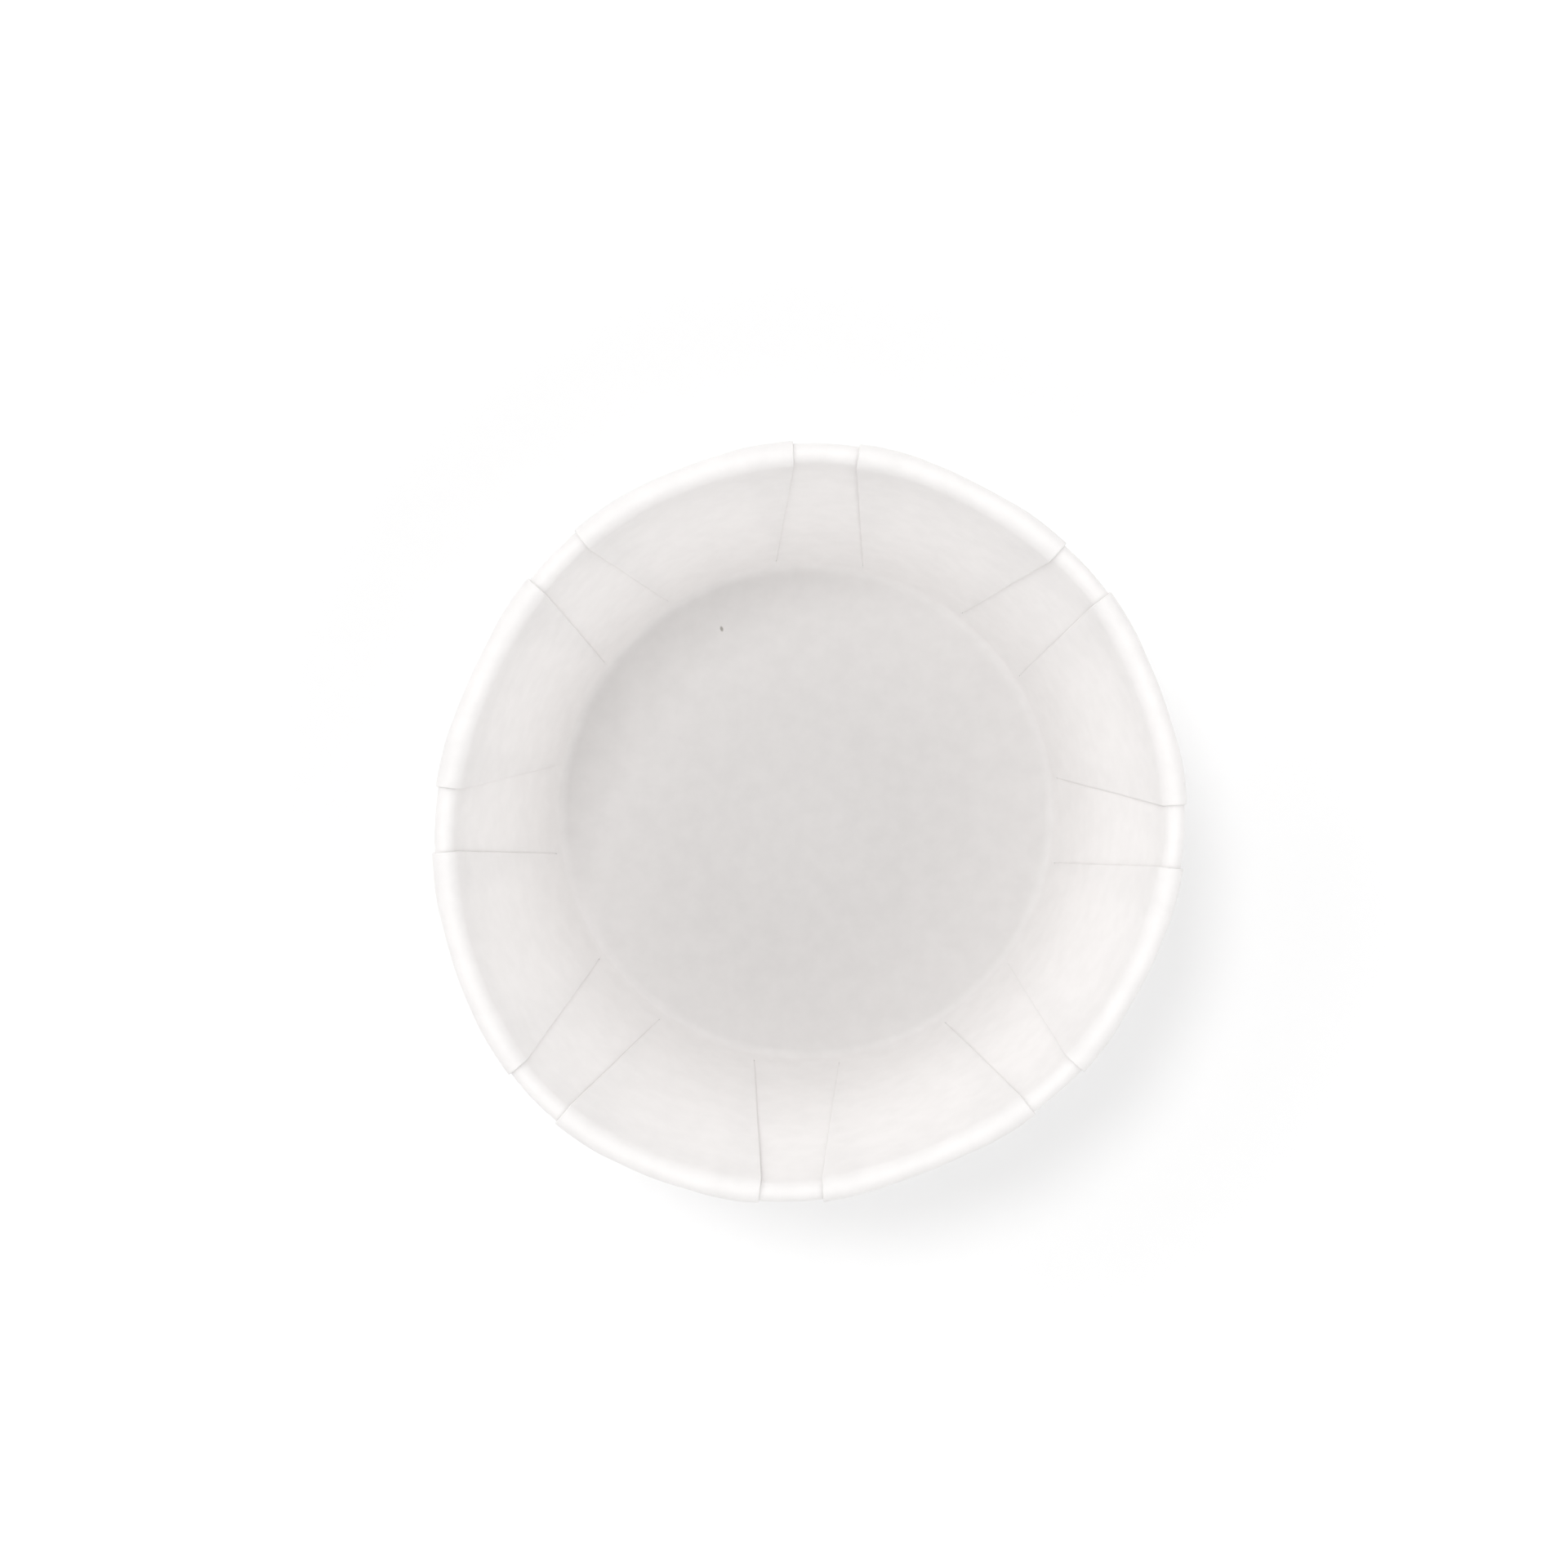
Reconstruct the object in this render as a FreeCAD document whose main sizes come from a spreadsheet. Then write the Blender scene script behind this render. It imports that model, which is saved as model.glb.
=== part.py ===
"""Pleated paper sundae cup: one round blank of paper, pressed into a flared cup with box pleats.

Millimetres, +Z up. The origin is the centre of the base's underside, and the mouth opens towards +Z.

The sheet is described by its depth, counted outwards from the face that shows inside the cup. In a
pleat it lies three deep: the wide front panel is the first layer, the hidden return behind its edge is
the second, and the narrow back panel, seen through the window between two front panels, is the third.
"""

import FreeCAD, Part
import math
import os
import Sketcher

from FreeCAD import Placement, Rotation, Vector

# Driving dimensions, in millimetres and degrees

SIZES = [
    ("rim_diameter", 83.0, "over the rolled rim, at the front panels"),
    ("base_diameter", 59.4, "where the wall's inner face would meet the base"),
    ("cup_height", 37.0, "from the underside to the top of the rolled rim"),
    ("paper", 0.22, "thickness of the sheet"),
    ("layer_gap", 0.06, "air between a front panel's folded edge and the back panel"),
    ("crease_radius", 1.3, "inner radius of the crease round the base"),
    ("crease_flats", 2, "narrow flats that make up the round of the crease"),
    ("curl_radius", 1.45, "outer radius of the rolled rim, at a front panel"),
    ("curl_turn", 210.0, "how far the rim is rolled, from the wall round to its raw edge"),
    ("curl_flats", 6, "narrow flats that make up the round of the curl"),
    ("pleats", 8, "number of pleats round the cup"),
    ("window_at_base", 10.4, "width of back panel that shows at the base"),
    ("window_at_rim", 6.7, "width of back panel that shows at the rim"),
    ("pleat_rise", 5.0, "length of wall over which a pleat opens to its full depth"),
    ("overcut", 0.8, "how far a cutting shape passes the paper that it cuts"),
    ("overturn", 10.0, "how far a cutting shape passes the raw edge of the curl"),
]

doc = FreeCAD.newDocument("sundae_cup")
sizes = doc.addObject("Spreadsheet::Sheet", "Sizes")
for row, (alias, value, meaning) in enumerate(SIZES, start=1):
    sizes.set(f"A{row}", alias)
    sizes.set(f"B{row}", str(value))
    sizes.set(f"C{row}", meaning)
    sizes.setAlias(f"B{row}", alias)
doc.recompute()

# Depths of the layers

INSIDE = "(-Sizes.overcut)"
FRONT_FACE = "0"
FRONT_BACK = "Sizes.paper"
RETURN_BACK = "(2 * Sizes.paper)"
BACK_FACE = f"({RETURN_BACK} + Sizes.layer_gap)"
BACK_BACK = f"({BACK_FACE} + Sizes.paper)"
CURL_HOLLOW = f"(({BACK_BACK} + Sizes.curl_radius) / 2)"

# Places in the cup's section: the base line, the middle of the curl, and heights along the leaning wall

CURL_R = "(Sizes.rim_diameter / 2 - Sizes.curl_radius)"
CURL_Z = "(Sizes.cup_height - Sizes.curl_radius)"
BASE_FLAT = "(FaceLine.Constraints.base_flat / 1mm)"
LEAN = "(FaceLine.Constraints.lean / 1deg)"
WALL_LENGTH = "(FaceLine.Constraints.wall_length / 1mm)"
WALL_TOP_R = "(FaceLine.Constraints.wall_top_r / 1mm)"
WALL_FOOT = f"(-{WALL_LENGTH})"
FULL_DEPTH = f"(Sizes.pleat_rise - {WALL_LENGTH})"
WALL_TOP = "0"
UPRIGHT = "rotation(vector(1; 0; 0); 90)"
ORIGIN = (-1, 1)
Z_AXIS = -2


def arc(middle, radius, start, end):
    return Part.ArcOfCircle(Part.Circle(middle, Vector(0, 0, 1), radius), start, end)


def bind(sketch, name, expression, kind, *where):
    """A named dimension of a sketch that follows the sheet."""
    value = float(sketch.evalExpression(expression))
    if kind == "Angle":
        value = math.radians(value)
    number = sketch.addConstraint(Sketcher.Constraint(kind, *where, value))
    sketch.renameConstraint(number, name)
    sketch.setExpression(f"Constraints.{name}", expression)


def measure(sketch, name, kind, *where):
    """A named length or angle that is read from a solved sketch."""
    number = sketch.addConstraint(Sketcher.Constraint(kind, *where, 1.0))
    sketch.setDriving(number, False)
    sketch.renameConstraint(number, name)


# The line of the inside face: from the axis across the base, up the wall and round the curl

face = doc.addObject("Sketcher::SketchObject", "FaceLine")
face.Placement = Placement(Vector(), Rotation(Vector(1, 0, 0), 90))

corner = Vector(sizes.base_diameter / 2, sizes.paper, 0)
curl_middle = Vector(sizes.rim_diameter / 2 - sizes.curl_radius, sizes.cup_height - sizes.curl_radius, 0)
to_curl = curl_middle - corner
wall_angle = math.atan2(to_curl.y, to_curl.x) + math.asin(sizes.curl_radius / to_curl.Length)
up_wall = Vector(math.cos(wall_angle), math.sin(wall_angle), 0)
into_cup = Vector(-up_wall.y, up_wall.x, 0)
setback = sizes.crease_radius * math.tan(wall_angle / 2)
base_edge = corner - Vector(setback, 0, 0)
crease_middle = base_edge + Vector(0, sizes.crease_radius, 0)
wall_top = curl_middle + into_cup * sizes.curl_radius
curl_start = wall_angle + math.pi / 2
curl_end = curl_start - math.radians(sizes.curl_turn)

base_line, crease_arc, wall_line, curl_arc = face.addGeometry(
    [
        Part.LineSegment(Vector(0, sizes.paper, 0), base_edge),
        arc(crease_middle, sizes.crease_radius, -math.pi / 2, wall_angle - math.pi / 2),
        Part.LineSegment(corner + up_wall * setback, wall_top),
        arc(curl_middle, sizes.curl_radius, curl_end, curl_start),
    ]
)
corner_point = face.addGeometry(Part.Point(corner), True)
face.addConstraint(
    [
        Sketcher.Constraint("Horizontal", base_line),
        Sketcher.Constraint("PointOnObject", base_line, 1, Z_AXIS),
        Sketcher.Constraint("Tangent", base_line, 2, crease_arc, 1),
        Sketcher.Constraint("Tangent", crease_arc, 2, wall_line, 1),
        Sketcher.Constraint("Tangent", wall_line, 2, curl_arc, 2),
        Sketcher.Constraint("PointOnObject", corner_point, 1, base_line),
        Sketcher.Constraint("PointOnObject", corner_point, 1, wall_line),
    ]
)
bind(face, "paper", "Sizes.paper", "DistanceY", *ORIGIN, corner_point, 1)
bind(face, "base_radius", "Sizes.base_diameter / 2", "DistanceX", *ORIGIN, corner_point, 1)
bind(face, "crease_radius", "Sizes.crease_radius", "Radius", crease_arc)
bind(face, "curl_radius", "Sizes.curl_radius", "Radius", curl_arc)
bind(face, "curl_r", CURL_R, "DistanceX", *ORIGIN, curl_arc, 3)
bind(face, "curl_z", CURL_Z, "DistanceY", *ORIGIN, curl_arc, 3)
bind(face, "curl_turn", "Sizes.curl_turn", "Angle", curl_arc)
measure(face, "base_flat", "Distance", base_line)
measure(face, "wall_length", "Distance", wall_line)
measure(face, "wall_top_r", "DistanceX", *ORIGIN, wall_line, 2)
measure(face, "lean", "Angle", wall_line, Z_AXIS)
doc.recompute()

# The flat blank is longer round than the cup, and each pleat takes up its share of that in four layers

BLANK_R = f"({BASE_FLAT} + Sizes.crease_radius * (90 - {LEAN}) * pi / 180 + {WALL_LENGTH})"
blank = doc.addObject("App::VarSet", "Blank")
blank.addProperty("App::PropertyFloat", "overlap", "Rim", "how far a front panel hides its pleat at the rim")
blank.setExpression("overlap", f"2 * pi * ({BLANK_R} - {WALL_TOP_R}) / (4 * Sizes.pleats)")
doc.recompute()


def section(name, placement, corners):
    """A closed outline through corners, each a pair of expressions that its place is bound to."""
    sketch = doc.addObject("Sketcher::SketchObject", name)
    sketch.setExpression("Placement", placement)
    places = [Vector(*(float(sketch.evalExpression(side)) for side in pair), 0) for pair in corners]
    edges = sketch.addGeometry([Part.LineSegment(*ends) for ends in zip(places, places[1:] + places[:1])])
    for number, (before, edge) in enumerate(zip(edges[-1:] + edges, edges)):
        sketch.addConstraint(Sketcher.Constraint("Coincident", before, 2, edge, 1))
        bind(sketch, f"across{number}", corners[number][0], "DistanceX", *ORIGIN, edge, 1)
        bind(sketch, f"up{number}", corners[number][1], "DistanceY", *ORIGIN, edge, 1)
    return sketch


def wall_ring(name, corners):
    """A ring of the wall. Its section is drawn from the middle of the curl, with +y up the wall."""
    placement = (
        f"placement(vector({CURL_R}; 0; {CURL_Z}); rotation(vector(0; 1; 0); {LEAN}) * {UPRIGHT})"
    )
    return revolve(name, section(f"{name}Section", placement, corners))


def revolve(name, outline):
    ring = doc.addObject("Part::Revolution", name)
    ring.Source = outline
    ring.Axis = Vector(0, 0, 1)
    ring.Angle = 360
    ring.Solid = True
    return ring


def on_wall(depth, height):
    return f"{depth} - Sizes.curl_radius", height


def on_curl(depth, angles):
    """Corners along the curl at one depth."""
    radius = f"(Sizes.curl_radius - {depth})"
    return [(f"-{radius} * cos({angle})", f"{radius} * sin({angle})") for angle in angles]


def on_crease(radius):
    """Corners round the crease, from the base line to the foot of the wall."""
    steps = [f"({step} * (90 - {LEAN}) / Sizes.crease_flats)" for step in range(int(sizes.crease_flats) + 1)]
    return [
        (f"{BASE_FLAT} + {radius} * sin({angle})", f"Sizes.paper + Sizes.crease_radius - {radius} * cos({angle})")
        for angle in steps
    ]


def pleat_blocks(name, at_base, at_rim):
    """One tapered block through the wall at each pleat, by its half width at the base and at the rim."""
    blocks = []
    for number in range(int(sizes.pleats)):
        block = doc.addObject("Part::Wedge", f"{name}{number + 1}")
        for side, expression in {
            "Xmin": f"-({at_base})",
            "Xmax": at_base,
            "X2min": f"-({at_rim})",
            "X2max": at_rim,
            "Ymin": "0",
            "Ymax": "Sizes.cup_height + Sizes.overcut",
            "Zmin": f"{BASE_FLAT} - 2 * Sizes.overcut",
            "Z2min": f"{WALL_TOP_R} - 2 * Sizes.overcut",
            "Zmax": "Sizes.rim_diameter / 2 + 2 * Sizes.overcut",
            "Z2max": "Sizes.rim_diameter / 2 + 2 * Sizes.overcut",
        }.items():
            block.setExpression(side, expression)
        turn = f"rotation(vector(0; 0; 1); {number} * 360 / Sizes.pleats)"
        block.setExpression("Placement", f"placement(vector(0; 0; 0); {turn} * rotation(vector(1; 1; 1); 120))")
        blocks.append(block)
    group = doc.addObject("Part::MultiFuse", name)
    group.Shapes = blocks
    return group


def combine(kind, name, base, tool):
    result = doc.addObject(f"Part::{kind}", name)
    result.Base = base
    result.Tool = tool
    return result


# The sheet before its pleats are opened: one layer in the base, and three all round the wall and curl

base_corners = [
    ("0", "0"),
    *on_crease("(Sizes.crease_radius + Sizes.paper)"),
    *reversed(on_crease("Sizes.crease_radius")),
    ("0", "Sizes.paper"),
]
base = revolve("Base", section("BaseSection", f"placement(vector(0; 0; 0); {UPRIGHT})", base_corners))

flats = int(sizes.curl_flats)
curl_angles = [f"({step} * Sizes.curl_turn / Sizes.curl_flats)" for step in range(1, flats + 1)]
past_edge = curl_angles + ["(Sizes.curl_turn + Sizes.overturn)"]
layers = wall_ring(
    "Layers",
    [
        on_wall(FRONT_FACE, WALL_TOP),
        on_wall(FRONT_FACE, WALL_FOOT),
        on_wall(FRONT_BACK, WALL_FOOT),
        on_wall(BACK_BACK, FULL_DEPTH),
        on_wall(BACK_BACK, WALL_TOP),
        *on_curl(BACK_BACK, curl_angles),
        *reversed(on_curl(FRONT_FACE, curl_angles)),
    ],
)
stack = combine("Fuse", "Stack", base, layers)

# In the window between two front panels only the back panel is left

window_ring = wall_ring(
    "WindowRing",
    [
        on_wall(INSIDE, WALL_TOP),
        on_wall(INSIDE, WALL_FOOT),
        on_wall(FRONT_FACE, WALL_FOOT),
        on_wall(BACK_FACE, FULL_DEPTH),
        on_wall(BACK_FACE, WALL_TOP),
        *on_curl(BACK_FACE, past_edge),
        *reversed(on_curl(INSIDE, past_edge)),
    ],
)
shown_base = "Sizes.window_at_base / 2"
shown_rim = "Sizes.window_at_rim / 2"
windows = combine("Common", "Windows", window_ring, pleat_blocks("Window", shown_base, shown_rim))

# Between two pleats only the front panel is left

between_ring = wall_ring(
    "BetweenRing",
    [
        on_wall(FRONT_BACK, WALL_TOP),
        on_wall(FRONT_BACK, WALL_FOOT),
        on_wall(CURL_HOLLOW, WALL_FOOT),
        on_wall(CURL_HOLLOW, WALL_TOP),
        *on_curl(CURL_HOLLOW, past_edge),
        *reversed(on_curl(FRONT_BACK, past_edge)),
    ],
)
hidden_rim = f"{shown_rim} + Blank.overlap"
betweens = combine("Cut", "Betweens", between_ring, pleat_blocks("Pleat", shown_base, hidden_rim))


# The folded edge of a front panel parts from the back panel, as far as the fold that is hidden. In the
# curl the layers are pressed together.

gap_ring = wall_ring(
    "GapRing",
    [
        on_wall(RETURN_BACK, WALL_TOP),
        on_wall(RETURN_BACK, FULL_DEPTH),
        on_wall(BACK_FACE, FULL_DEPTH),
        on_wall(BACK_FACE, WALL_TOP),
    ],
)
hidden_folds = pleat_blocks("HiddenFold", f"{shown_base} - Sizes.paper", f"{hidden_rim} - Sizes.paper")
gaps = combine("Common", "Gaps", gap_ring, hidden_folds)

# The folded sheet

cup = stack
for opening in [windows, betweens, gaps]:
    cup = combine("Cut", f"CupWith{opening.Name}", cup, opening)
cup.Label = "pleated_cup"
cup.Refine = True
doc.recompute()

faults = [o.Name for o in doc.Objects if "Invalid" in o.State or "Error" in o.State]
if faults:
    raise RuntimeError(f"these objects failed: {faults}")
loose = [o.Name for o in doc.Objects if o.TypeId == "Sketcher::SketchObject" and not o.FullyConstrained]
if loose:
    raise RuntimeError(f"these sketches can still move: {loose}")
shape = cup.Shape
if shape.isNull() or not shape.isValid() or len(shape.Solids) != 1:
    raise RuntimeError(f"{cup.Label} isn't one valid solid")

os.makedirs("parts", exist_ok=True)
shape.exportStep(f"parts/{cup.Label}.step")
print(f"{cup.Label}: {shape.Volume:.1f} mm3, {len(shape.Faces)} faces, overlap {blank.overlap:.2f} mm")
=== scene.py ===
# %% [markdown]
# A pleated paper sundae cup
#
# The real thing is one round sheet of bleached paper. A press pushes it into a flared cup, and the
# paper that is left over goes into eight box pleats round the wall. The rim is then rolled outwards.
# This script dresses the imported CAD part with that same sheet, drawn finer: round folds, a round curl
# and the small faults of a light cup that somebody has handled.

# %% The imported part
import math

import bpy
from mathutils import Matrix, Vector


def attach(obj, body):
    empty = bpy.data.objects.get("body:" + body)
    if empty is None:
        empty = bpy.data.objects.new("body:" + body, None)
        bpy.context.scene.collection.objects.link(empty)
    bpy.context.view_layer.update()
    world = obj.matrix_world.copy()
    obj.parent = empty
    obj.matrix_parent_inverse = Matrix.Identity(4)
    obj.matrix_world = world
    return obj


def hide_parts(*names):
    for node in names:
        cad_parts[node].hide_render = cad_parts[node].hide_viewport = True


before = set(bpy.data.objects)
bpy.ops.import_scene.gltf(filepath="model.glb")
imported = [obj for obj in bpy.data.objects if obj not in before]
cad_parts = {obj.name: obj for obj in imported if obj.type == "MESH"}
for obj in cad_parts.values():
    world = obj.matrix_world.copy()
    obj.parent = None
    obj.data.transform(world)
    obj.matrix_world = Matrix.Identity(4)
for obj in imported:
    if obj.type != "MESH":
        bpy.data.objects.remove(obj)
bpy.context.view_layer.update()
MM = 0.001


# %% [markdown]
# Sizes
#
# The cup's own lengths are the CAD part's, so that the dressed cup lies on the solid. The paper alone is
# thinner here. The solid's layers are thick enough to be packed and simulated, while this stock is
# 0.13 mm thick and its folds show as fine lines.
#
# The sheet is described by its depth, counted outwards from the face that shows inside the cup. The
# wide front panels lie at the front. A hidden return lies behind each of their edges. The narrow back
# panel behind both shows in the window between two front panels.

# %% Sizes of the sheet, in millimetres
RIM_DIAMETER = 83.0
BASE_DIAMETER = 59.4
HEIGHT = 37.0
PAPER = 0.13
CREASE_RADIUS = 1.3
CURL_RADIUS = 1.45
PLEATS = 8

lengths = {
    "Paper": PAPER,
    "Pressed gap": 0.005,  # from a front panel to the return behind it
    "Gap at rim": 0.06,  # from the return to the back panel, growing up to the rim
    "Crease radius": CREASE_RADIUS,
    "Curl radius": CURL_RADIUS,
    "Window at base": 10.4,  # what shows of the back panel between two front panels
    "Window at rim": 6.7,
    "Overlap at rim": 5.3,  # how deep a pleat is hidden behind a front panel
    "Pleat rise": 5.0,  # the height over which the layers part, above the crease
    "Settling": 0.1,  # how much further out a front panel's middle lies
    "Settling width": 2.5,  # the width over which it gets there
}
print(f"{len(lengths)} lengths, {PLEATS} pleats, paper {PAPER} mm thick")

# %% [markdown]
# The line of the wall
#
# The wall's inner face runs from the corner of the base to the curl, and touches the curl's circle. Two
# angles give its lean: the one from the corner to the middle of the curl, less the one that the curl's
# radius takes up on the way.

# %% The wall's lean and length
run = (RIM_DIAMETER - BASE_DIAMETER) / 2 - CURL_RADIUS
rise = HEIGHT - CURL_RADIUS - PAPER
lean = math.atan2(run, rise) - math.asin(CURL_RADIUS / math.hypot(run, rise))
setback = CREASE_RADIUS * math.tan((math.pi / 2 - lean) / 2)
lengths["Base flat"] = BASE_DIAMETER / 2 - setback
lengths["Wall length"] = math.sqrt(run**2 + rise**2 - CURL_RADIUS**2) - setback
print(f"wall: {math.degrees(lean):.2f} degrees of lean, {lengths['Wall length']:.2f} mm long")

# %% [markdown]
# A helper for nodes
#
# The cup's shape and its paper are both built from nodes. One small function adds any node, with its
# settings, its plain values and its links.

# %% Add one node
def add(tree, kind, inputs=(), **settings):
    """A new node. An input's value is a number, a vector, or another node's socket to link."""
    node = tree.nodes.new(kind)
    for name, value in settings.items():
        setattr(node, name, value)
    for key, value in dict(inputs).items():
        if isinstance(value, bpy.types.NodeSocket):
            tree.links.new(value, node.inputs[key])
        else:
            node.inputs[key].default_value = value
    return node


# %% [markdown]
# A worksheet of sums
#
# The fold is a rule, and the rule is a row of small sums. Written as a list, one line for each Math
# node, it reads like a spreadsheet: the name of the result, the operation, and what goes into it.

# %% Turn a worksheet into Math nodes
def work_out(tree, known, rows):
    """Adds a Math node for each row and files its result in known, under the row's name."""
    for name, operation, *terms in rows:
        values = {place: known.get(term, term) for place, term in enumerate(terms)}
        known[name] = add(tree, "ShaderNodeMath", values, operation=operation).outputs[0]


# %% [markdown]
# The tree that folds the cup
#
# The cup could be a lathe turned once round, but a lathe has no pleats. It could be one hand-made mesh,
# but then no size could be changed. Here a flat grid is the blank, and Geometry Nodes fold it: a column
# of the grid says where a point lies across the pleat, and a row says where it lies between the raw
# edge and the middle of the base. The grid's upper half is the inside face of the paper, and its lower
# half is the outside face, so the sheet gets its true thickness.

# %% Open the tree and name its inputs
CURL_TURN = 210.0

angles = {"Lean": lean, "Curl turn": math.radians(CURL_TURN)}
fold = bpy.data.node_groups.new("fold_a_pleated_cup", "GeometryNodeTree")
fold.interface.new_socket("Cup", in_out="OUTPUT", socket_type="NodeSocketGeometry")
for name in [*lengths, *angles, "Height", "Edge lift", "Open edge lift", "Waviness", "Seed"]:
    fold.interface.new_socket(name, in_out="INPUT", socket_type="NodeSocketFloat")
fold.interface.new_socket("Pleats", in_out="INPUT", socket_type="NodeSocketInt")
fold.interface.new_socket("Paper stock", in_out="INPUT", socket_type="NodeSocketMaterial")
given = add(fold, "NodeGroupInput").outputs
known = {socket.name: socket for socket in given if socket.name}
print("inputs:", ", ".join(known))

# %% [markdown]
# The blank
#
# Columns and rows are counted from the middle of the grid. Each stretch of them, such as the return or
# the wall, has a share of its own that runs from 0 to 1. A stretch where the paper bends has narrow
# steps, and a flat one has wide steps, which keeps the mesh light.

# %% The flat blank of one pleat
ACROSS = {"back": 8, "fold to back": 6, "return": 4, "fold to front": 6, "front": 16}
ALONG = {"curl": 18, "wall": 24, "crease": 5, "base": 7}

half_columns = sum(ACROSS.values())
half_rows = sum(ALONG.values()) + 0.5
blank = add(
    fold,
    "GeometryNodeMeshGrid",
    {
        "Size X": 2.0 * half_columns,
        "Size Y": 2.0 * half_rows,
        "Vertices X": 2 * half_columns + 1,
        "Vertices Y": int(2 * half_rows) + 1,
    },
)
cell = add(fold, "ShaderNodeSeparateXYZ", {0: add(fold, "GeometryNodeInputPosition").outputs[0]})
known |= {"grid x": cell.outputs[0], "grid y": cell.outputs[1]}
work_out(
    fold,
    known,
    [
        ("column", "ABSOLUTE", "grid x"),
        ("hand", "SIGN", "grid x"),
        ("row", "ABSOLUTE", "grid y"),
        ("row", "SUBTRACT", "row", 0.5),
        ("face", "SIGN", "grid y"),
    ],
)
for counter, stretches in [("column", ACROSS), ("row", ALONG)]:
    start = 0
    for name, steps in stretches.items():
        share = {"Value": known[counter], "From Min": start, "From Max": start + steps}
        known[name] = add(fold, "ShaderNodeMapRange", share).outputs[0]
        start += steps
print(f"blank of one pleat: {2 * half_columns} by {int(2 * half_rows)} faces")

# %% [markdown]
# Across the pleat
#
# A pleat widens towards the rim, because the round blank has more paper to lose there. At the foot of
# the wall it has no depth at all. From the window's middle the sheet runs along the back panel, turns
# back along the return, and turns again into the front panel. Each turn is half a circle, and the two
# faces lie half a thickness to each side of the sheet's middle. The die presses the layers together on
# the wall, and they spring a little apart towards the rim.

# %% The section across a pleat
work_out(
    fold,
    known,
    [
        ("height", "SUBTRACT", 1.0, "wall"),
        ("up wall", "MULTIPLY", "Wall length", "height"),
        ("window change", "SUBTRACT", "Window at rim", "Window at base"),
        ("window", "MULTIPLY_ADD", "window change", "height", "Window at base"),
        ("half window", "MULTIPLY", "window", 0.5),
        ("overlap", "MULTIPLY", "Overlap at rim", "height"),
        ("half hidden", "ADD", "half window", "overlap"),
        ("lean cosine", "COSINE", "Lean"),
        ("lean sine", "SINE", "Lean"),
        ("foot radius", "MULTIPLY_ADD", "Crease radius", "lean cosine", "Base flat"),
        ("radius", "MULTIPLY_ADD", "up wall", "lean sine", "foot radius"),
    ],
)
opening = {"Value": known["up wall"], "From Max": known["Pleat rise"]}
known["open"] = add(fold, "ShaderNodeMapRange", opening, interpolation_type="SMOOTHSTEP").outputs[0]
work_out(
    fold,
    known,
    [
        ("front step", "ADD", "Paper", "Pressed gap"),
        ("front step", "MULTIPLY", "front step", "open"),
        ("back step", "MULTIPLY", "height", "height"),
        ("back step", "MULTIPLY_ADD", "back step", "Gap at rim", "Paper"),
        ("back step", "MULTIPLY", "back step", "open"),
        ("front turn", "MULTIPLY", "fold to front", math.pi),
        ("back turn", "MULTIPLY", "fold to back", math.pi),
        ("front cosine", "COSINE", "front turn"),
        ("back cosine", "COSINE", "back turn"),
        ("front sine", "SINE", "front turn"),
        ("back sine", "SINE", "back turn"),
        ("front share", "MULTIPLY_ADD", "front cosine", 0.5, 0.5),
        ("back share", "MULTIPLY_ADD", "back cosine", 0.5, 0.5),
        ("half paper", "MULTIPLY", "Paper", 0.5),
        ("depth", "MULTIPLY_ADD", "front step", "front share", "half paper"),
        ("depth", "MULTIPLY_ADD", "back step", "back share", "depth"),
        # the back fold is round, and its outer face takes up the last 1.5 thicknesses
        ("back end", "MULTIPLY_ADD", "Paper", -1.5, "half hidden"),
        ("front start", "ADD", "half window", "Paper"),
        ("return width", "SUBTRACT", "front start", "back end"),
        ("pleat share", "DIVIDE", math.pi, "Pleats"),
        ("front end", "MULTIPLY", "pleat share", "radius"),
        ("front width", "SUBTRACT", "front end", "front start"),
        ("across", "MULTIPLY", "back end", "back"),
        ("across", "MULTIPLY_ADD", "return width", "return", "across"),
        ("across", "MULTIPLY_ADD", "front width", "front", "across"),
        ("back bulge", "MULTIPLY", "back step", "back sine"),
        ("across", "MULTIPLY_ADD", "back bulge", 0.5, "across"),
        ("front bulge", "MULTIPLY", "front step", "front sine"),
        ("across", "MULTIPLY_ADD", "front bulge", -0.5, "across"),
    ],
)
print(f"at the rim: window {lengths['Window at rim']} mm, hidden depth {lengths['Overlap at rim']} mm")

# %% [markdown]
# Behind a front panel the pleat ends about 5 mm from its edge. Beyond that nothing holds the panel
# forward, and it settles outwards by the thickness of a hair, which shows as a faint band on the wall.

# %% The settled middle of a front panel, and the two faces
work_out(fold, known, [("settled at", "ADD", "half hidden", "Settling width")])
settling = {"Value": known["across"], "From Min": known["half hidden"], "From Max": known["settled at"]}
known["settled"] = add(fold, "ShaderNodeMapRange", settling, interpolation_type="SMOOTHSTEP").outputs[0]
work_out(
    fold,
    known,
    [
        ("settled", "MULTIPLY", "settled", "Settling"),
        ("depth", "MULTIPLY_ADD", "settled", "open", "depth"),
        ("turn", "SUBTRACT", "back turn", "front turn"),
        ("turn", "MULTIPLY", "turn", "open"),
        ("turn sine", "SINE", "turn"),
        ("turn cosine", "COSINE", "turn"),
        ("to face", "MULTIPLY", "half paper", "face"),
        ("face across", "MULTIPLY", "to face", "turn sine"),
        ("face depth", "MULTIPLY", "to face", "turn cosine"),
        ("face across", "SUBTRACT", "across", "face across"),
        ("depth", "SUBTRACT", "depth", "face depth"),
        ("angle", "DIVIDE", "face across", "radius"),
        ("angle", "MULTIPLY", "angle", "hand"),
    ],
)
print(f"front panels settle by {lengths['Settling']} mm")

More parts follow.
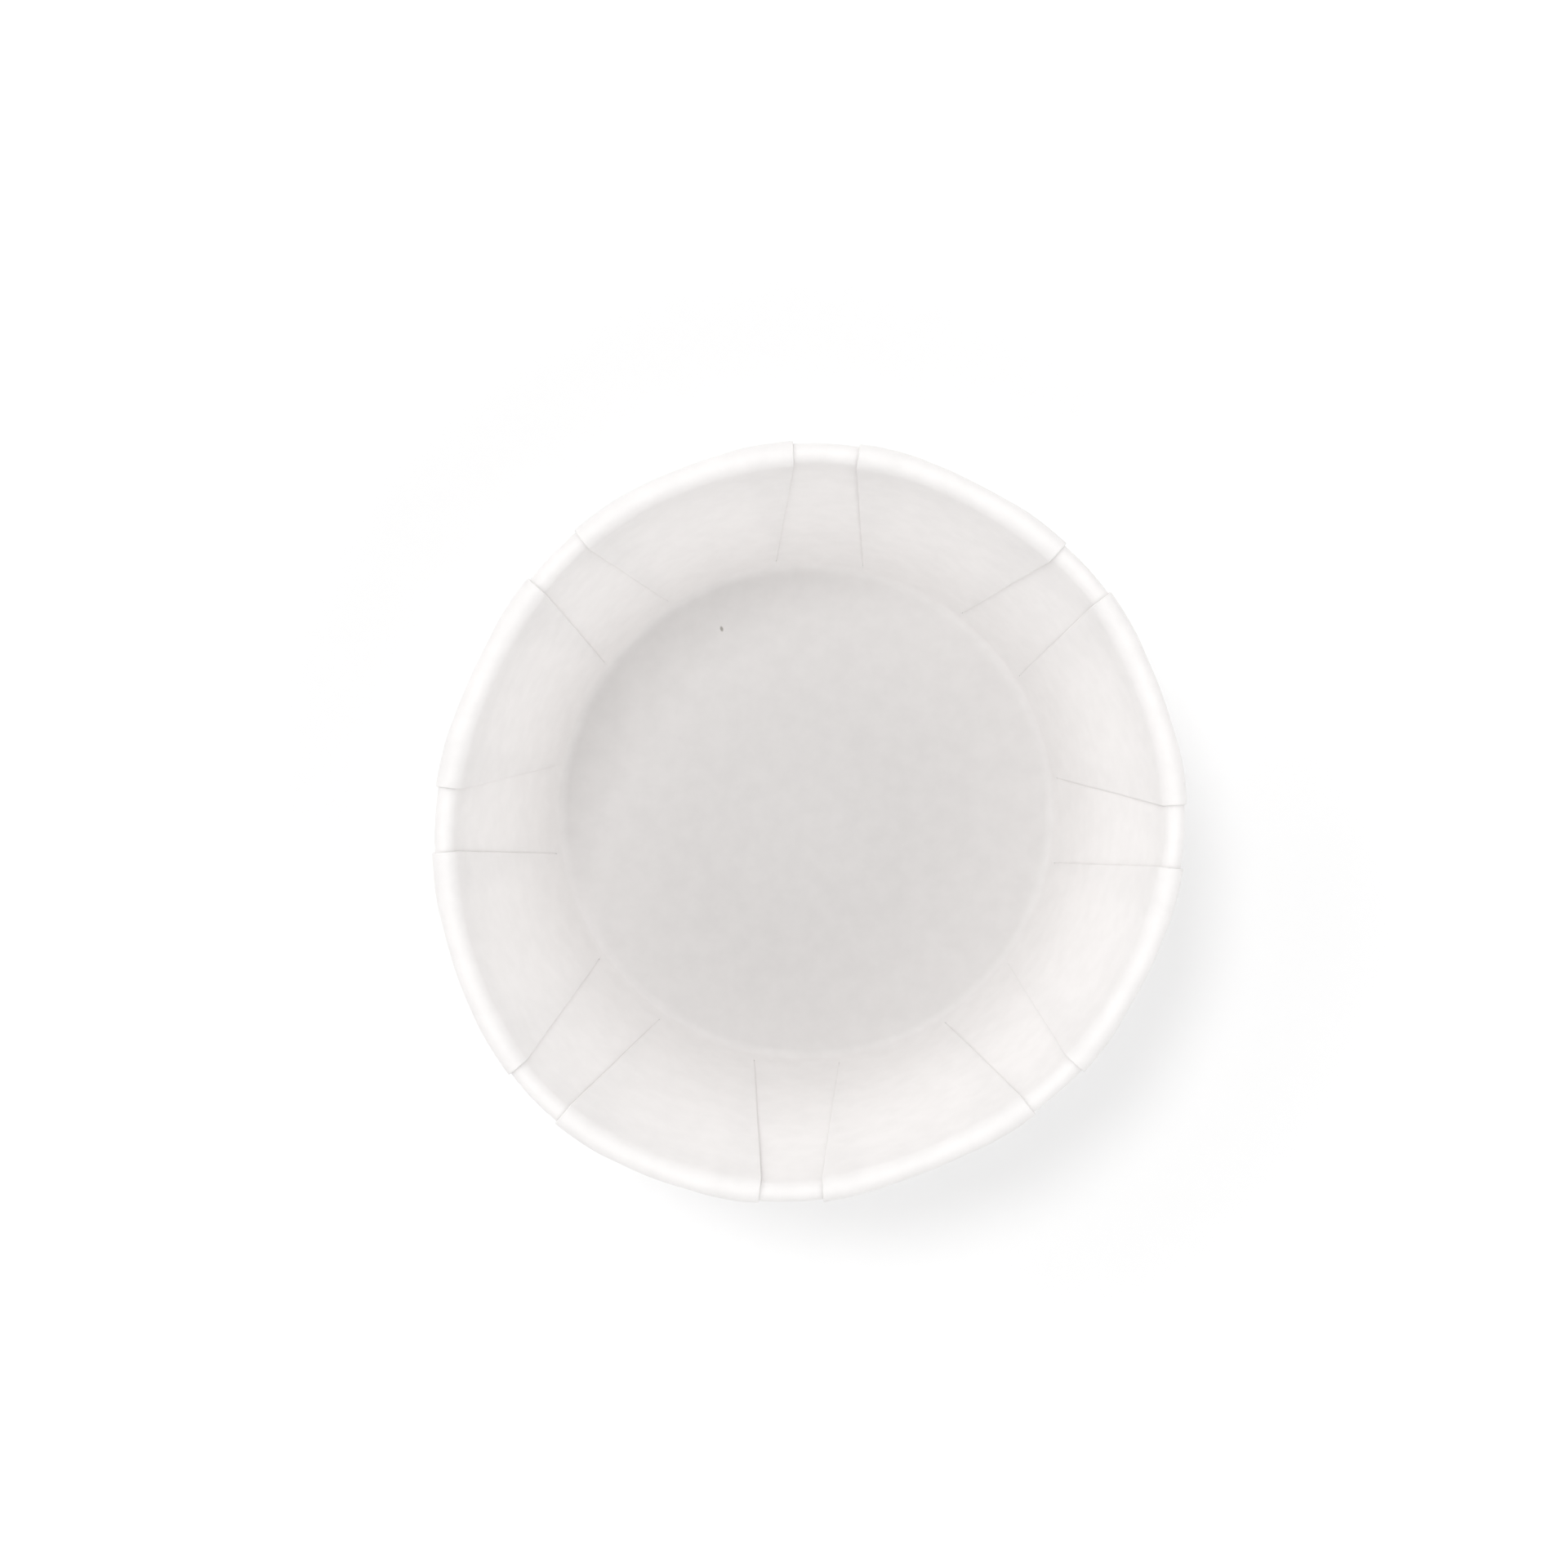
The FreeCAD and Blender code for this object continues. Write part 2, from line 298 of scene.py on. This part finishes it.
# %% [markdown]
# Along the sheet
#
# Seen from the side, the sheet runs flat over the base, bends up through the crease, climbs the wall and
# rolls over at the rim. Two arms, each turned by its own angle, carry a point there from the middle of
# the crease. A last turn about the cup's axis puts it at its place round the cup.

# %% The profile from the base to the raw edge
work_out(
    fold,
    known,
    [
        ("rolled", "SUBTRACT", 1.0, "curl"),
        ("rolled", "MULTIPLY", "rolled", "Curl turn"),
        ("roll radius", "SUBTRACT", "Curl radius", "depth"),
        ("roll sine", "SINE", "rolled"),
        ("roll cosine", "COSINE", "rolled"),
        ("climb", "MULTIPLY_ADD", "roll radius", "roll sine", "up wall"),
        ("roll back", "MULTIPLY", "roll radius", "roll cosine"),
        ("outwards", "SUBTRACT", "roll radius", "roll back"),
        ("crease arm", "ADD", "Crease radius", "depth"),
        ("crease turn", "SUBTRACT", math.pi / 2, "Lean"),
        ("crease angle", "MULTIPLY_ADD", "crease turn", "crease", "Lean"),
        ("crease height", "ADD", "Paper", "Crease radius"),
        ("flat left", "SUBTRACT", 1.0, "base"),
        ("flat left", "MULTIPLY", "flat left", "Base flat"),
    ],
)
crease_arm = add(fold, "ShaderNodeCombineXYZ", {0: known["crease arm"]}).outputs[0]
wall_arm = add(fold, "ShaderNodeCombineXYZ", {0: known["outwards"], 2: known["climb"]}).outputs[0]
middle = add(fold, "ShaderNodeCombineXYZ", {0: known["flat left"], 2: known["crease height"]}).outputs[0]
for arm, angle in [(crease_arm, "crease angle"), (wall_arm, "Lean")]:
    turned = {"Vector": arm, "Angle": known[angle]}
    turned = add(fold, "ShaderNodeVectorRotate", turned, rotation_type="Y_AXIS").outputs[0]
    middle = add(fold, "ShaderNodeVectorMath", {0: middle, 1: turned}, operation="ADD").outputs[0]
placed = {"Vector": middle, "Angle": known["angle"]}
placed = add(fold, "ShaderNodeVectorRotate", placed, rotation_type="Z_AXIS").outputs[0]
print(f"profile: flat to {lengths['Base flat']:.2f} mm, rolled by {CURL_TURN:.0f} degrees at the rim")

# %% [markdown]
# Eight pleats
#
# The eight pleats are alike, so one is folded and the rest are instances of it, each turned by its share
# of the circle. Realised and merged, they are one sheet again, closed at its seams and its two poles.
# How near a point lies to a front panel's folded edge is noted first, because that edge lifts later.

# %% Fold one pleat and repeat it
BACK_FOLD_DONE = 0.999  # a point past this share of the back fold is on the front layers
WELD = 0.001 * MM

work_out(fold, known, [("edge end", "ADD", "half window", "Settling width")])
near = {"Value": known["across"], "From Min": known["edge end"], "From Max": known["half window"]}
known["near edge"] = add(fold, "ShaderNodeMapRange", near, interpolation_type="SMOOTHSTEP").outputs[0]
work_out(
    fold,
    known,
    [
        ("front layers", "GREATER_THAN", "fold to back", BACK_FOLD_DONE),
        ("near edge", "MULTIPLY", "near edge", "front layers"),
        ("high up", "POWER", "height", 2.0),
        ("near edge", "MULTIPLY", "near edge", "high up"),
    ],
)
noted = {"Geometry": blank.outputs["Mesh"], "Name": "near_edge", "Value": known["near edge"]}
noted = add(fold, "GeometryNodeStoreNamedAttribute", noted, data_type="FLOAT", domain="POINT")
folded = add(fold, "GeometryNodeSetPosition", {"Geometry": noted.outputs[0], "Position": placed})
pleat = add(fold, "GeometryNodeGeometryToInstance", {0: folded.outputs[0]})
copies = {"Geometry": pleat.outputs[0], "Amount": known["Pleats"]}
copies = add(fold, "GeometryNodeDuplicateElements", copies, domain="INSTANCE")
known["copy"] = copies.outputs["Duplicate Index"]
work_out(fold, known, [("place", "MULTIPLY", "pleat share", 2.0), ("place", "MULTIPLY", "place", "copy")])
place = add(fold, "ShaderNodeCombineXYZ", {2: known["place"]}).outputs[0]
place = add(fold, "FunctionNodeEulerToRotation", {0: place}).outputs[0]
ring = add(fold, "GeometryNodeRotateInstances", {"Instances": copies.outputs[0], "Rotation": place})
ring = add(fold, "GeometryNodeRealizeInstances", {0: ring.outputs[0]})
sheet = add(fold, "GeometryNodeMergeByDistance", {"Geometry": ring.outputs[0], "Distance": WELD})
print(f"{len(fold.nodes)} nodes fold the round, even cup")

# %% [markdown]
# The faults of a real cup
#
# A press leaves the cup round, and a hand doesn't. The rim in the photograph is longer one way than the
# other, a little three-cornered, and softly eight-sided, because the thick pleats stay out where the
# single panels between them fall in. The waves below were read off the photograph. The base stays round
# and flat, so every wave grows from nothing at the foot to its full size at the rim.

# %% Waves round the rim: how many, how high in mm, and the bearing of a crest in degrees
RIM_WAVES = [(2, 0.84, 53.8), (3, 0.46, -8.1), (PLEATS, 0.18, 0.0)]

spot = add(fold, "ShaderNodeSeparateXYZ", {0: add(fold, "GeometryNodeInputPosition").outputs[0]})
known |= {"x": spot.outputs[0], "y": spot.outputs[1], "z": spot.outputs[2]}
work_out(
    fold,
    known,
    [
        ("bearing", "ARCTAN2", "y", "x"),
        ("raised", "DIVIDE", "z", "Height"),
    ],
)
known["push"] = 0.0
for count, height, crest in RIM_WAVES:
    work_out(
        fold,
        known,
        [
            ("wave", "MULTIPLY_ADD", "bearing", float(count), -count * math.radians(crest)),
            ("wave", "COSINE", "wave"),
            ("push", "MULTIPLY_ADD", "wave", height * MM, "push"),
        ],
    )
print(f"rim waves: {' + '.join(str(height) for _, height, _ in RIM_WAVES)} mm")

# %% [markdown]
# The paper also waves a little between its folds, and no two folded edges stand off the panel behind
# them by the same amount. Both come from noise with a fixed seed, so the cup is the same every time.
# One edge, near the bottom of the picture, stands open and has a dark line beside it.

# %% Wavy panels and lifted edges: how wide and how high in mm, and the open edge in degrees
WAVE_MM = 14.0
LIFT_MM = 24.0
SEED = 3.0
OPEN_EDGE_BEARING = 262.3
OPEN_EDGE_REACH = 5.0
faults = {"Waviness": 0.7, "Edge lift": 0.02, "Open edge lift": 0.1}


def per_metre(size_mm):
    """The scale of a pattern whose cells are this wide."""
    return 1 / (size_mm * MM)


reach_cosine = math.cos(math.radians(OPEN_EDGE_REACH))
here = add(fold, "GeometryNodeInputPosition").outputs[0]
for name, size in [("waviness noise", WAVE_MM), ("lift noise", LIFT_MM)]:
    noise = {"Vector": here, "W": known["Seed"], "Scale": per_metre(size), "Detail": 1.0}
    known[name] = add(fold, "ShaderNodeTexNoise", noise, noise_dimensions="4D").outputs[0]
edge = add(fold, "GeometryNodeInputNamedAttribute", {"Name": "near_edge"}, data_type="FLOAT")
known["near edge"] = edge.outputs["Attribute"]
work_out(
    fold,
    known,
    [
        ("uneven", "SUBTRACT", "waviness noise", 0.5),
        ("uneven", "MULTIPLY", "uneven", "Waviness"),
        ("push", "ADD", "push", "uneven"),
        ("push", "MULTIPLY", "push", "raised"),
        ("lift", "MULTIPLY", "lift noise", "Edge lift"),
        ("open edge", "SUBTRACT", "bearing", math.radians(OPEN_EDGE_BEARING)),
        ("open edge", "COSINE", "open edge"),
        ("open edge", "GREATER_THAN", "open edge", reach_cosine),
        ("lift", "MULTIPLY_ADD", "open edge", "Open edge lift", "lift"),
        ("lift", "MULTIPLY", "lift", "near edge"),
        ("push", "SUBTRACT", "push", "lift"),
        ("push x", "COSINE", "bearing"),
        ("push x", "MULTIPLY", "push x", "push"),
        ("push y", "SINE", "bearing"),
        ("push y", "MULTIPLY", "push y", "push"),
    ],
)
pushed = add(fold, "ShaderNodeCombineXYZ", {0: known["push x"], 1: known["push y"]}).outputs[0]
pushed = add(fold, "ShaderNodeVectorMath", {0: here, 1: pushed}, operation="ADD").outputs[0]
print("faults in mm:", faults)

# %% [markdown]
# The pleats aren't quite even either. Each stands up to two degrees off its place, and a float curve
# laid round the cup turns the paper between them smoothly. The curve starts at the left of the picture
# and goes by the bottom, the right and the top back to the left.

# %% Pleats off their even places, in degrees
PLEAT_TURNS = [0.75, 1.75, -0.55, 0.25, 0.05, -0.85, -1.35, -0.05, 0.75]
TURN_SPAN = 10.0  # what the curve's whole height stands for

work_out(fold, known, [("round", "DIVIDE", "bearing", 2 * math.pi), ("round", "ADD", "round", 0.5)])
turner = add(fold, "ShaderNodeFloatCurve", {"Value": known["round"]})
points = turner.mapping.curves[0].points
last = len(PLEAT_TURNS) - 1
places = [(number / last, 0.5 + turn / TURN_SPAN) for number, turn in enumerate(PLEAT_TURNS)]
points[0].location = places[0]
points[-1].location = places[-1]
for place in places[1:-1]:
    points.new(*place)
turner.mapping.update()
known["uneven turn"] = turner.outputs[0]
span = math.radians(TURN_SPAN)
work_out(fold, known, [("uneven turn", "MULTIPLY_ADD", "uneven turn", span, -span / 2)])
turned = {"Vector": pushed, "Angle": known["uneven turn"]}
turned = add(fold, "ShaderNodeVectorRotate", turned, rotation_type="Z_AXIS").outputs[0]
handled = add(fold, "GeometryNodeSetPosition", {"Geometry": sheet.outputs[0], "Position": turned})
clean = add(fold, "GeometryNodeRemoveAttribute", {"Geometry": handled.outputs[0], "Name": "near_edge"})
smooth = add(fold, "GeometryNodeSetShadeSmooth", {0: clean.outputs[0]})
stocked = {"Geometry": smooth.outputs[0], "Material": known["Paper stock"]}
stocked = add(fold, "GeometryNodeSetMaterial", stocked)
add(fold, "NodeGroupOutput", {0: stocked.outputs[0]})
print(f"folding tree: {len(fold.nodes)} nodes")

# %% [markdown]
# Uncoated bleached paper
#
# The cup is plain kraft pulp, bleached white and pressed on a felt, with no coating. To the eye that is
# a dead matt, faintly warm white. Close up it has a soft cloud of denser and thinner pulp, the dimples
# of the felt, and single fibres. Real fibres are a thirtieth of a millimetre wide, too fine to show at
# this distance, so they are drawn about ten times as coarse. A little light also comes through a
# single layer, so the pleats, three layers thick, look a shade darker than the panels between them.
#
# One fleck of dark pulp lies in the base. It is an ellipse round a point on the inner face, and too
# shallow to reach the underside.

# %% Colours and pattern sizes
def linear(colour):
    """An sRGB hex colour as the linear values that a shader takes."""
    parts = [int(colour[place : place + 2], 16) / 255 for place in (1, 3, 5)]
    return [*(p / 12.92 if p <= 0.04045 else ((p + 0.055) / 1.055) ** 2.4 for p in parts), 1.0]


PULP = "#f6f4f3"
THIN_PULP = "#f3f1f0"
CLOUD_MM = 2.5
CLOUD_EDGES = {"From Min": 0.35, "From Max": 0.65}
FELT_MM = 0.7
FIBRE_MM = 0.35
FIBRE_SHARE = 0.35  # of the felt's relief
RELIEF_MM = 0.03
RELIEF_STRENGTH = 0.35
ROUGHNESS = 0.85
FIBRE_IOR = 1.5
SHINE = 0.35
THROUGH = 0.12  # the share of the light that goes through a layer
FLECK = "#b4b0ab"
FLECK_AT = [-10.85 * MM, 21.8 * MM, PAPER * MM]
FLECK_HALF = [0.19 * MM, 0.33 * MM, 0.08 * MM]
FLECK_TURN = [0.0, 0.0, math.radians(18)]
FLECK_EDGES = {"From Min": 1.3, "From Max": 0.5}  # in half widths, from clean paper to full fleck
print("pulp in linear light:", [round(part, 3) for part in linear(PULP)[:3]])

# %% Paper from nodes
paper = bpy.data.materials.new("bleached_kraft_pressed_on_felt")
paper.use_nodes = True
nodes = paper.node_tree
nodes.nodes.clear()
where = add(nodes, "ShaderNodeTexCoord").outputs["Object"]
cloud = {"Vector": where, "Scale": per_metre(CLOUD_MM), "Detail": 3.0, "Roughness": 0.6}
cloud = add(nodes, "ShaderNodeTexNoise", cloud).outputs[0]
cloud = add(nodes, "ShaderNodeMapRange", {"Value": cloud} | CLOUD_EDGES).outputs[0]
pulp = {0: cloud, 6: linear(THIN_PULP), 7: linear(PULP)}
pulp = add(nodes, "ShaderNodeMix", pulp, data_type="RGBA").outputs[2]

fleck = {"Vector": where, "Location": FLECK_AT, "Rotation": FLECK_TURN, "Scale": FLECK_HALF}
fleck = add(nodes, "ShaderNodeMapping", fleck, vector_type="TEXTURE").outputs[0]
fleck = add(nodes, "ShaderNodeVectorMath", {0: fleck}, operation="LENGTH").outputs["Value"]
fleck = {"Value": fleck} | FLECK_EDGES
fleck = add(nodes, "ShaderNodeMapRange", fleck, interpolation_type="SMOOTHSTEP").outputs[0]
pulp = {0: fleck, 6: pulp, 7: linear(FLECK)}
pulp = add(nodes, "ShaderNodeMix", pulp, data_type="RGBA").outputs[2]

felt = {"Vector": where, "Scale": per_metre(FELT_MM), "Detail": 2.0, "Roughness": 0.5}
felt = add(nodes, "ShaderNodeTexNoise", felt).outputs[0]
fibres = {"Vector": where, "Scale": per_metre(FIBRE_MM), "Detail": 2.0, "Distortion": 2.5}
fibres = add(nodes, "ShaderNodeTexNoise", fibres).outputs[0]
relief = {0: fibres, 1: FIBRE_SHARE, 2: felt}
relief = add(nodes, "ShaderNodeMath", relief, operation="MULTIPLY_ADD").outputs[0]
relief = {"Height": relief, "Strength": RELIEF_STRENGTH, "Distance": RELIEF_MM * MM}
relief = add(nodes, "ShaderNodeBump", relief).outputs[0]

surface = {"Base Color": pulp, "Roughness": ROUGHNESS, "Normal": relief}
surface |= {"IOR": FIBRE_IOR, "Specular IOR Level": SHINE}
surface = add(nodes, "ShaderNodeBsdfPrincipled", surface)
through = add(nodes, "ShaderNodeBsdfTranslucent", {"Color": pulp})
stock = add(nodes, "ShaderNodeMixShader", {0: THROUGH, 1: surface.outputs[0], 2: through.outputs[0]})
add(nodes, "ShaderNodeOutputMaterial", {"Surface": stock.outputs[0]})
print(f"paper: felt {FELT_MM} mm, fibres {FIBRE_MM} mm, cloud {CLOUD_MM} mm")

# %% [markdown]
# The cup itself
#
# The tree's inputs are filled in by their sockets' identifiers, the result is read off the evaluated
# object as a plain mesh, and the object that carried the modifier goes. The raw edge of the paper is
# sharp, and everything else is shaded smooth.

# %% Fill in the tree and take its mesh
RAW_EDGE_DEGREES = 55.0

carrier = bpy.data.objects.new("carrier", bpy.data.meshes.new("carrier"))
bpy.context.scene.collection.objects.link(carrier)
modifier = carrier.modifiers.new("fold", "NODES")
modifier.node_group = fold
measures = lengths | faults | {"Height": HEIGHT}
values = {name: measure * MM for name, measure in measures.items()} | angles
values |= {"Pleats": PLEATS, "Seed": SEED, "Paper stock": paper}
for item in fold.interface.items_tree:
    if item.in_out == "INPUT":
        modifier[item.identifier] = values[item.name]
carrier.update_tag()
evaluated = carrier.evaluated_get(bpy.context.evaluated_depsgraph_get())
cup = bpy.data.objects.new("pleated_paper", bpy.data.meshes.new_from_object(evaluated))
bpy.context.scene.collection.objects.link(cup)
bpy.data.objects.remove(carrier)
cup.data.set_sharp_from_angle(angle=math.radians(RAW_EDGE_DEGREES))
print(f"cup: {len(cup.data.vertices)} points, {len(cup.data.polygons)} faces")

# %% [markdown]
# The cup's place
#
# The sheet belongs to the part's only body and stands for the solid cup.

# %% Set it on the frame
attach(cup, "root")
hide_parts("pleated_cup")
print(f"{cup.name} stands for the solid cup")

# %% [markdown]
# The floor
#
# The photograph has a pure white ground with a soft shadow. The floor is matt and pale. Its colour is a
# shade paler for rays that come from the camera, so that it reads as white board and keeps the cup's
# shadow, while no more light bounces off it onto the cup. It lies a hair below the base.

# %% A pale floor
FLOOR_HALF = 1.5  # metres
FLOOR_GAP = 0.02  # millimetres
BOARD = "#e8e8e8"
BOARD_SEEN = "#f4f4f4"

floor_mesh = bpy.data.meshes.new("floor")
square = [(-1, -1), (1, -1), (1, 1), (-1, 1)]
corners = [(x * FLOOR_HALF, y * FLOOR_HALF, -FLOOR_GAP * MM) for x, y in square]
floor_mesh.from_pydata(corners, [], [(0, 1, 2, 3)])
floor = bpy.data.objects.new("floor", floor_mesh)
bpy.context.scene.collection.objects.link(floor)
ground = bpy.data.materials.new("white_background_board")
ground.use_nodes = True
nodes = ground.node_tree
nodes.nodes.clear()
matt = add(nodes, "ShaderNodeBsdfDiffuse", {"Color": linear(BOARD)}).outputs[0]
seen = add(nodes, "ShaderNodeBsdfDiffuse", {"Color": linear(BOARD_SEEN)}).outputs[0]
camera_ray = add(nodes, "ShaderNodeLightPath").outputs["Is Camera Ray"]
ground_mix = add(nodes, "ShaderNodeMixShader", {0: camera_ray, 1: matt, 2: seen})
add(nodes, "ShaderNodeOutputMaterial", {"Surface": ground_mix.outputs[0]})
floor_mesh.materials.append(ground)
print(f"floor: {2 * FLOOR_HALF:.0f} m square")

# %% [markdown]
# Light
#
# In the photograph the wall is brighter than the base all the way round. So most of the light comes
# from a ring of softboxes round the cup, brightest between a third and a half of the way up: it
# reaches the wall over the rim opposite, and the base sees little of it. Right overhead it is dim. The
# ring is the world's own light, whose strength depends on the direction alone.
#
# Two lamps at the upper left of the picture do the rest. A weak low one brightens the far wall, and one
# near the axis casts the soft shadow to the lower right.

# %% Soft studio lamps
def sun(name, bearing, tilt, level, softness):
    """A lamp from a bearing round the cup, tilted off its axis, in degrees. White paper that faces a
    lamp of level 1 renders white."""
    lamp = bpy.data.lights.new(name, "SUN")
    lamp.energy = level * math.pi
    lamp.angle = math.radians(softness)
    holder = bpy.data.objects.new(name, lamp)
    holder.rotation_euler = (0.0, math.radians(tilt), math.radians(bearing))
    bpy.context.scene.collection.objects.link(holder)


sun("low_softbox", bearing=150.0, tilt=66.0, level=0.1, softness=26.0)
sun("front_softbox", bearing=128.0, tilt=21.0, level=0.2, softness=14.0)
print("lamps:", [lamp.name for lamp in bpy.data.lights])

# %% [markdown]
# The ring's strength rises and falls smoothly with height, so no edge of it shows on the paper. It is
# tipped a little, and it is a little stronger from the right and from below, which fills the side of
# the cup that the two lamps leave dim.

# %% The ring of softboxes: strengths, and the sines of the heights where it begins and ends
OVERHEAD = 0.1
RING = 1.72
RING_FADES_IN = (0.0, 0.55)
RING_FADES_OUT = (0.7, 0.86)
RING_TILT = 0.06
MORE_RIGHT = 0.08
MORE_BELOW = 0.08

world = bpy.data.worlds.new("ring_of_softboxes")
bpy.context.scene.world = world
world.use_nodes = True
nodes = world.node_tree
nodes.nodes.clear()
toward = add(nodes, "ShaderNodeTexCoord").outputs["Generated"]
right, above, up = add(nodes, "ShaderNodeSeparateXYZ", {0: toward}).outputs
sine = {0: above, 1: RING_TILT, 2: up}
sine = add(nodes, "ShaderNodeMath", sine, operation="MULTIPLY_ADD").outputs[0]
strength = OVERHEAD
for (start, end), change in [(RING_FADES_IN, RING), (RING_FADES_OUT, -RING)]:
    fade = {"Value": sine, "From Min": start, "From Max": end}
    fade = add(nodes, "ShaderNodeMapRange", fade, interpolation_type="SMOOTHSTEP").outputs[0]
    strength = {0: fade, 1: change, 2: strength}
    strength = add(nodes, "ShaderNodeMath", strength, operation="MULTIPLY_ADD").outputs[0]
sides = 1.0
for side, more in [(right, MORE_RIGHT), (above, -MORE_BELOW)]:
    sides = {0: side, 1: more, 2: sides}
    sides = add(nodes, "ShaderNodeMath", sides, operation="MULTIPLY_ADD").outputs[0]
strength = add(nodes, "ShaderNodeMath", {0: strength, 1: sides}, operation="MULTIPLY").outputs[0]
print(f"ring: strength {OVERHEAD + RING} between the sines {RING_FADES_IN[1]} and {RING_FADES_OUT[0]}")

# %% [markdown]
# Where the camera looks past the floor, it sees a plain white backdrop. Only what is seen changes, and
# the light on the cup doesn't.

# %% The backdrop behind the floor
lit = add(nodes, "ShaderNodeBackground", {"Color": linear("#ffffff"), "Strength": strength})
backdrop = add(nodes, "ShaderNodeBackground", {"Color": linear("#ffffff"), "Strength": 1.0})
rays = add(nodes, "ShaderNodeLightPath").outputs
only_seen = rays["Is Camera Ray"]
for kind in ("Is Glossy Ray", "Is Transmission Ray"):
    either = {0: only_seen, 1: rays[kind]}
    only_seen = add(nodes, "ShaderNodeMath", either, operation="MAXIMUM").outputs[0]
studio = add(nodes, "ShaderNodeMixShader", {0: only_seen, 1: lit.outputs[0], 2: backdrop.outputs[0]})
add(nodes, "ShaderNodeOutputWorld", {"Surface": studio.outputs[0]})
print(f"world: {len(nodes.nodes)} nodes")

# %% [markdown]
# Camera
#
# The photograph looks into the mouth from about 35 cm, almost straight down the axis. The cup stands on
# its base here, so the camera looks down on it. It leans a little to the top and the right of the
# picture, and is turned by the angle at which the first pleat lies in the photograph. These values were
# found by laying the rim and the base over the photograph's.

# %% The photograph's view: lengths in mm, angles in degrees
RIM_HEIGHT = HEIGHT - CURL_RADIUS
DISTANCE = 348.0
VIEW_MM = 171.8
AIM = (-2.39, 4.55)
LEAN_RIGHT = 0.45
LEAN_UP = 1.84
ROLL = 1.75

camera = bpy.data.cameras.new("camera")
camera.sensor_fit = "HORIZONTAL"
camera.angle = 2 * math.atan(VIEW_MM / 2 / DISTANCE)
camera.clip_start = 10 * MM
eye = bpy.data.objects.new("camera", camera)
bpy.context.scene.collection.objects.link(eye)
bpy.context.scene.camera = eye

roll = Matrix.Rotation(math.radians(ROLL), 4, "Z")
lean_up = Matrix.Rotation(math.radians(-LEAN_UP), 4, "X")
lean_right = Matrix.Rotation(math.radians(LEAN_RIGHT), 4, "Y")
aim = Matrix.Translation(Vector((*AIM, RIM_HEIGHT)) * MM)
back_off = Matrix.Translation(Vector((0, 0, DISTANCE * MM)))
eye.matrix_world = roll @ aim @ lean_up @ lean_right @ back_off
scene = bpy.context.scene
scene.view_settings.view_transform = "Standard"
print(f"camera: {camera.lens:.1f} mm lens, at {[round(v / MM) for v in eye.matrix_world.translation]} mm")
